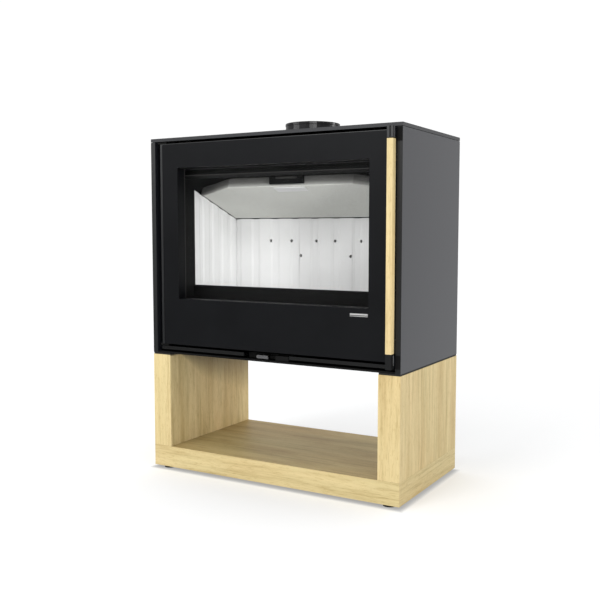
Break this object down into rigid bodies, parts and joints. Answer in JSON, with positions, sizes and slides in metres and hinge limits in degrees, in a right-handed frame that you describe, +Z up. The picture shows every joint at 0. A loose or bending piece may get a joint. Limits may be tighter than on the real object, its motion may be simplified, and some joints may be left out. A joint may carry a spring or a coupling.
{
  "type": "wood burning stove",
  "caption": "Free-standing wood burning stove: black steel casing, wide glazed hinged door with a full-height oak grip, lined firebox, flue collar and open oak log bench.",
  "frame": {"origin": "on the floor, in the middle of the footprint", "axes": "+Z up, the door faces -Y, +X to the right of someone facing the door"},
  "size_m": [0.8, 0.456, 1.027],
  "materials": {
    "oak": "matt lacquered light oak",
    "rubber_black": "matt",
    "casing_black": "satin black stove paint",
    "firebox_steel": "matt black stove paint",
    "cast_iron": "as cast",
    "refractory_white": "pressed white refractory board",
    "vermiculite_grey": "pressed vermiculite",
    "bright_steel": "satin",
    "rope": "woven glass fibre rope",
    "ceramic_glass": "clear"
  },
  "bodies": {
    "stove": {"bench_base_board": "oak", "bench_left_panel": "oak", "bench_right_panel": "oak", "foot_front_left": "rubber_black", "foot_front_right": "rubber_black", "foot_rear_left": "rubber_black", "foot_rear_right": "rubber_black", "spacer_strip_left": "rubber_black", "spacer_strip_right": "rubber_black", "casing_floor_plate": "casing_black", "casing_side_left": "casing_black", "casing_side_right": "casing_black", "casing_top_plate": "casing_black", "casing_rear_panel": "casing_black", "lower_trim_left": "casing_black", "lower_trim_right": "casing_black", "flue_collar": "casing_black", "air_inlet_spigot": "casing_black", "firebox_shell": "firebox_steel", "firebox_front_frame": "firebox_steel", "firebox_support_left": "firebox_steel", "firebox_support_right": "firebox_steel", "hearth_support": "firebox_steel", "baffle_hook": "firebox_steel", "air_wash_strip": "firebox_steel", "secondary_air_channel": "firebox_steel", "combustion_air_duct": "firebox_steel", "air_valve_body": "firebox_steel", "air_control_stop": "firebox_steel", "hinge_bracket_lower": "firebox_steel", "hinge_bracket_upper": "firebox_steel", "lining_left": "refractory_white", "lining_right": "refractory_white", "lining_back": "refractory_white", "lining_hearth": "refractory_white", "ash_pan": "bright_steel", "rear_heat_shield": "bright_steel", "hinge_pin_lower": "bright_steel", "hinge_pin_upper": "bright_steel", "latch_keeper": "bright_steel"},
    "door": {"door_panel": "casing_black", "door_hinge_stile": "casing_black", "door_back_frame": "firebox_steel", "door_glass": "ceramic_glass", "glass_gasket": "rope", "glass_retainer": "firebox_steel", "door_rope_seal": "rope", "blank_badge": "bright_steel", "handle_bearing_lower": "firebox_steel", "handle_bearing_upper": "firebox_steel"},
    "handle": {"handle_bar": "casing_black", "handle_grip": "oak", "handle_end_lower": "casing_black", "handle_end_upper": "casing_black", "latch_hook": "bright_steel"},
    "air_control": {"air_slide_plate": "bright_steel", "air_control_tab": "bright_steel"},
    "grate": {"grate": "cast_iron"},
    "log_guard": {"log_guard": "firebox_steel"},
    "baffle": {"baffle_plate": "vermiculite_grey"}
  },
  "joints": [
    {"name": "door_hinge", "type": "hinge", "parent": "stove", "child": "door", "pos_m": [-0.3625, -0.196, 0.671], "axis": [0, 0, -1], "range_deg": [0, 110]},
    {"name": "handle_turn", "type": "hinge", "parent": "door", "child": "handle", "pos_m": [0.3645, -0.194, 0.669], "axis": [0, 0, -1], "range_deg": [0, 25]},
    {"name": "air_control_slide", "type": "slide", "parent": "stove", "child": "air_control", "axis": [1, 0, 0], "range_m": [-0.028, 0.024]},
    {"name": "grate_lift_out", "type": "slide", "parent": "stove", "child": "grate", "axis": [0, 0, 1], "range_m": [0, 0.06]},
    {"name": "log_guard_lift_out", "type": "slide", "parent": "stove", "child": "log_guard", "axis": [0, 0, 1], "range_m": [0, 0.05]},
    {"name": "baffle_lift_out", "type": "slide", "parent": "stove", "child": "baffle", "axis": [0, 0, 1], "range_m": [0, 0.04]}
  ]
}
